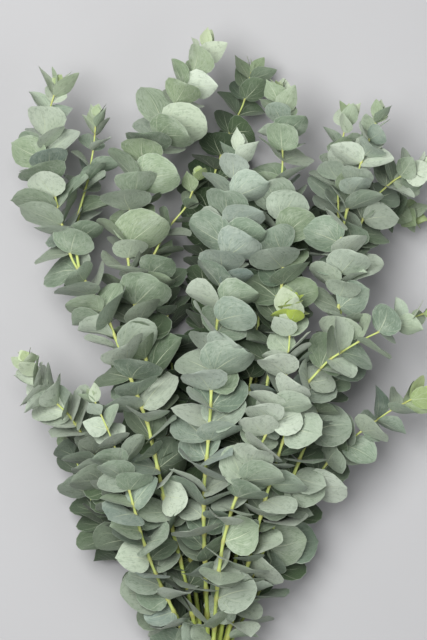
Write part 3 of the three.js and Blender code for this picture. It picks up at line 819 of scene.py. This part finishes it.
def squeezeIn(line, i, radius, turn, like, others, tubes, dice):
    # The least crowded of several ways that a leaf could grow here, if any is clear enough.
    best, clear = None, 0
    low, high = like
    age = (low["age"] + high["age"]) / 2
    for attempt in range(growth["tries"]):
        size = dice.uniform(*growth["size"])
        size *= growth["shrink"] ** (attempt // growth["shrinkAfter"])
        size *= 1 + growth["youngSize"] * (1 - age)
        lift = growth["lift"][0] + growth["lift"][1] * age + dice.uniform(*growth["liftChance"])
        way = (turn + dice.uniform(*growth["turn"]), math.radians(lift),
               math.radians(dice.uniform(*growth["roll"])))
        leaf = sketch(leafOn(line, i, radius, way, age, (low["length"] + high["length"]) / 2 * size,
                             (low["width"] + high["width"]) / 2 * size))
        crowd = crowding(leaf, others, tubes)
        clear += crowd == 0
        turned = 1 - abs(leaf["axes"][2].z)
        if best is None or (crowd, turned) < best[:2]:
            best = (crowd, turned, leaf)
        if clear == growth["choices"]:
            break
    allowed = growth["youngAllowed"] if age < growth["youngAge"] else growth["allowed"]
    return best[2] if best[0] <= allowed else None


def stationsOn(grown, k):
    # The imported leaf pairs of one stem: where each stands along it, and one of its leaves.
    line = grown["lines"][k]
    found = []
    for leaf in grown["leaves"]:
        gaps = [min((spot - leaf["base"]).length for spot in other) for other in grown["lines"]]
        if gaps.index(min(gaps)) == k:
            nearest = min(range(len(line)), key=lambda n: (line[n] - leaf["base"]).length)
            found.append((nearest, leaf))
    pairs = []
    for i, leaf in sorted(found, key=lambda station: station[0]):
        if not pairs or (i - pairs[-1][0]) * stemSizes["step"] > growth["merge"]:
            pairs.append((i, leaf))
    if k == 0:
        lowest = next(n for n, spot in enumerate(line) if spot.y > bunchStart.y + growth["lowest"])
        if lowest < pairs[0][0]:
            pairs.insert(0, (lowest, pairs[0][1]))
    return pairs


def fillIn(grown, others, tubes, dice):
    # New pairs wherever two packed pairs stand far apart.
    added = []
    for k, line in enumerate(grown["lines"]):
        pairs = stationsOn(grown, k)
        clearTubes = [shape for key, shape in tubes.items() if key != (grown["name"], k)]
        for (i, low), (j, high) in zip(pairs, pairs[1:]):
            age = (low["age"] + high["age"]) / 2
            wanted = growth["youngSpacing"] + (growth["spacing"] - growth["youngSpacing"]) * age
            wanted *= growth["bushy"].get(grown["name"], 1)
            count = round((j - i) * stemSizes["step"] / wanted) - 1
            for n in range(count):
                at = round(i + (j - i) * (n + 1) / (count + 1))
                start = dice.uniform(0, math.tau)
                for half in (0, math.pi):
                    leaf = squeezeIn(line, at, stemRadius(k, at / (len(line) - 1)), start + half,
                                     (low, high), others + added, clearTubes, dice)
                    if leaf:
                        added.append(leaf)
    return added


def budLeaves(grown, dice):
    # The small leaves that close each tip, and the bright tuft of one branch.
    buds = []
    for k, line in enumerate(grown["lines"]):
        tufted = grown["name"] == tips["tuftOn"]
        start = dice.uniform(0, math.tau)
        for n, (back, length, lift) in enumerate(tips["tuft"] if tufted else tips["plain"]):
            for half in (0, math.pi):
                way = (start + n * tips["turn"] + half,
                       math.radians(lift + dice.uniform(*tips["lift"])), dice.uniform(*tips["roll"]))
                size = length * dice.uniform(*tips["size"])
                bud = leafOn(line, len(line) - 1 - back, stemSizes["tip"], way,
                             tips["tuftAge" if tufted else "budAge"], size, size * tips["width"])
                buds.append(sketch(bud))
    return buds


print("materials")
leafMaterial = makeLeafMaterial()
stemMaterial = makeStemMaterial()
bandMaterial = makeBandMaterial()

print("blade shapes")
bladeBox = bpy.data.collections.new("blades")
for number, (outline, *habits) in enumerate(bladeShapes):
    bladeBox.objects.link(makeBlade("blade%d" % number, bladeOutlines[outline],
                                    dict(zip(bladeHabits, habits))))

print("reading the packed branches")
bunch = []
for name, branch in branches.items():
    seatX, seatZ = branch["seat"]
    spread = stemSizes["footSpread"]
    foot = place(seatX * spread, 0, stemSizes["footHeight"] + seatZ * spread)
    foot.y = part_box(name)[0][1]
    routes = [[place(*spot) for spot in route] for route in branch["routes"]]
    routes[0] = [foot, place(seatX, 0, bandHeight + seatZ)] + routes[0]
    leaves = [sketch(leaf) for leaf in readLeaves(frame["nodes"][name], packedBlade)]
    bunch.append({"name": name, "look": branch, "leaves": leaves, "routes": routes,
                  "lines": [stemLine(route, stemSizes) for route in routes]})

print("filling in between the packed leaves")
dice = random.Random(growth["seed"])
allLeaves = [leaf for grown in bunch for leaf in grown["leaves"]]
tubes = {(grown["name"], k): tube(line, stemSizes["tube"])
         for grown in bunch for k, line in enumerate(grown["lines"])}
for grown in bunch:
    added = fillIn(grown, allLeaves, tubes, dice)
    allLeaves += added
    grown["buds"] = budLeaves(grown, dice)
    print(grown["name"], len(grown["leaves"]), "packed,", len(added), "between,",
          len(grown["buds"]), "buds")
    grown["leaves"] += added


# Painted shade: a leaf well below the highest ones around it is painted darker and greener, as if in
# their shadow.
paintedShadeDepth = {"around": 0.04, "least": 0.02, "range": 0.045}


def paintShadeOnLeaves(leaves, cfg):
    spots = [leaf["middle"] for leaf in leaves]
    for leaf, spot in zip(leaves, spots):
        top = max(other.z for other in spots
                  if math.hypot(other.x - spot.x, other.y - spot.y) < cfg["around"])
        depth = (top - spot.z - cfg["least"]) / cfg["range"]
        leaf["leafPaintedShade"] = min(1, max(0, depth)) * leaf["age"]


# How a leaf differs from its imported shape, old and how much more when young, and how its
# colours vary by chance.
dress = {"youngUntil": 0.55, "length": (1.04, 0.3), "width": (1.05, 0.5), "tintSpread": 0.2,
         "paleSpread": 0.24, "fresh": (0.6, 1.1)}


def dressLeaf(leaf, look, bud, dice):
    # What the leaf's point carries: its turn and size, its blade shape and its colours.
    young = max(0, 1 - leaf["age"] / dress["youngUntil"])
    length = leaf["length"] * (dress["length"][0] + dress["length"][1] * young)
    width = leaf["width"] * (dress["width"][0] + dress["width"][1] * young)
    leaf["leafTurn"] = tuple(Matrix(leaf["axes"]).transposed().to_quaternion())
    leaf["leafSize"] = (length, width, length)
    leaf["leafKind"] = pickBlade(leaf["age"], dice)
    leaf["leafTint"] = min(1, max(0, dice.gauss(look["tint"], dress["tintSpread"])))
    # On the branches lying lowest the low paleness is partly painted shade
    leaf["leafShade"] = min(1, max(0, dice.gauss(look["pale"], dress["paleSpread"])))
    leaf["leafFresh"] = min(1, (look["fresh"] * young + bud) * dice.uniform(*dress["fresh"]))


print("growing the pieces")
leafTree, stemTree = makeLeafTree(), makeStemTree()
paintShadeOnLeaves([leaf for grown in bunch for leaf in grown["leaves"] + grown["buds"]], paintedShadeDepth)
for grown in bunch:
    name, look = grown["name"], grown["look"]
    for leaf in grown["leaves"]:
        dressLeaf(leaf, look, 0, dice)
    for bud in grown["buds"]:
        dressLeaf(bud, look, tips["tuftGreen" if name == tips["tuftOn"] else "budGreen"], dice)
    stems = runTree(stemTree, stemMesh(name + "Line", grown, stemSizes),
                    {"Sides": stemSizes["sides"], "Material": stemMaterial}, name + "_stem")
    ringTheCuts(stems, stemSizes["rings"])
    foliage = runTree(leafTree, pointMesh(name + "Points", grown["leaves"] + grown["buds"]),
                      {"Blades": bladeBox, "Ruffle": 0.007, "Ruffle size": 30.0,
                       "Bend height": 0.0025, "Material": leafMaterial}, name + "_leaves")
    for piece in (stems, foliage):
        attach(piece, "root")
        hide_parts(name)

for blade in list(bladeBox.objects):
    bpy.data.objects.remove(blade)
bpy.data.collections.remove(bladeBox)


print("rubber band")
# The section's corners: across the band, and up from the stems.
bandSizes = {"turns": 3, "width": 0.0034, "pitch": 0.0035, "thickness": 0.0011, "gap": 0.0004,
             "stem": 0.0029, "steps": 72, "tilt": 0.0009, "turnShift": 2.1, "stemCorners": 16,
             "section": ((-0.5, 0.12), (-0.42, 0.85), (-0.2, 1.0), (0.2, 1.0), (0.42, 0.85),
                         (0.5, 0.12), (0.4, 0.0), (-0.4, 0.0))}


def makeBand(crossings, cfg):
    # Flat turns round the outline of the stems, one beside the other.
    ring = []
    reach = cfg["stem"] + cfg["gap"]
    for spot in crossings:
        for k in range(cfg["stemCorners"]):
            angle = math.tau * k / cfg["stemCorners"]
            ring.append((spot.x + reach * math.cos(angle), spot.z + reach * math.sin(angle)))
    outline = [Vector((ring[i][0], 0, ring[i][1])) for i in convex_hull_2d(ring)]
    loop = evenly(outline + outline[:1], cfg["steps"])[:-1]
    centre = sum(loop, Vector()) / len(loop)
    mesh = bmesh.new()
    for turn in range(cfg["turns"]):
        middleY = bunchStart.y + (turn - (cfg["turns"] - 1) / 2) * cfg["pitch"]
        sections = []
        for i, spot in enumerate(loop):
            ahead, behind = loop[(i + 1) % len(loop)], loop[i - 1]
            out = (ahead - behind).cross(Vector((0, 1, 0))).normalized()
            if out.dot(spot - centre) < 0:
                out = -out
            sway = cfg["tilt"] * math.sin(math.tau * i / len(loop) + turn * cfg["turnShift"])
            section = []
            for side, lift in cfg["section"]:
                point = spot + out * (cfg["thickness"] * lift)
                point.y = middleY + sway + side * cfg["width"]
                section.append(mesh.verts.new(point))
            sections.append(section)
        for i, first in enumerate(sections):
            second = sections[(i + 1) % len(sections)]
            for k in range(len(first)):
                after = (k + 1) % len(first)
                mesh.faces.new((first[k], first[after], second[after], second[k]))
    bmesh.ops.recalc_face_normals(mesh, faces=mesh.faces)
    for face in mesh.faces:
        face.smooth = True
    data = bpy.data.meshes.new("rubber_band_turns")
    mesh.to_mesh(data)
    mesh.free()
    data.materials.append(bandMaterial)
    piece = bpy.data.objects.new("rubber_band_turns", data)
    bpy.context.scene.collection.objects.link(piece)
    return piece


band = makeBand([grown["routes"][0][1] for grown in bunch], bandSizes)
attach(band, "root")
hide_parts("rubber_band")


print("stage")
# The camera is this far above the table, looking down on this point of the bunch, and takes
# in this much of its length at the height of most leaves.
stage = {"table": (0.445, 0.445, 0.455), "tableSize": 8, "cameraHeight": 2.3,
         "frameHeight": 0.672, "subjectHeight": 0.1, "aim": (6, 420), "sensor": 24,
         "surroundings": (0.98, 0.98, 1.0, 1), "surroundingLight": 0.16}

tableMaterial, tableBench, tableShader = newMaterial("paleTable", {"Roughness": 0.9})
tableSpot = tableBench.node("ShaderNodeTexCoord", {}, output="Object")
grain = tableBench.noise(tableSpot, 9.0, 3.0)
feed(tableBench, tableShader, Base_Color=tableBench.blendColours(
    grain, stage["table"], [c * 1.03 for c in stage["table"]]))
bpy.ops.mesh.primitive_plane_add(size=stage["tableSize"])
table = bpy.context.object
table.name = "table"
table.data.materials.append(tableMaterial)


def addLight(name, spot, target, size, power, colour):
    data = bpy.data.lights.new(name, "AREA")
    data.size, data.energy, data.color = size, power, colour
    light = bpy.data.objects.new(name, data)
    light.location = spot
    light.rotation_euler = (Vector(target) - Vector(spot)).to_track_quat("-Z", "Y").to_euler()
    bpy.context.scene.collection.objects.link(light)


addLight("softbox", (-0.55, 0.48, 2.1), (0, -0.05, 0.1), 1.2, 62, (1.0, 1.0, 0.99))
addLight("fill", (1.3, -0.6, 1.8), (0, -0.1, 0.1), 1.4, 11, (0.98, 0.99, 1.0))

world = bpy.data.worlds.new("studio")
world.use_nodes = True
background = world.node_tree.nodes["Background"]
background.inputs[0].default_value = stage["surroundings"]
background.inputs[1].default_value = stage["surroundingLight"]
bpy.context.scene.world = world

cameraData = bpy.data.cameras.new("camera")
cameraData.sensor_fit = "VERTICAL"
cameraData.sensor_height = stage["sensor"]
distance = stage["cameraHeight"] - stage["subjectHeight"]
cameraData.lens = stage["sensor"] * distance / stage["frameHeight"]
camera = bpy.data.objects.new("camera", cameraData)
aimX, aimY = stage["aim"]
camera.location = place(aimX, aimY, stage["cameraHeight"] * 1000)
bpy.context.scene.collection.objects.link(camera)
bpy.context.scene.camera = camera
bpy.context.scene.view_settings.view_transform = "Standard"

print("finished", len(branches), "branches")
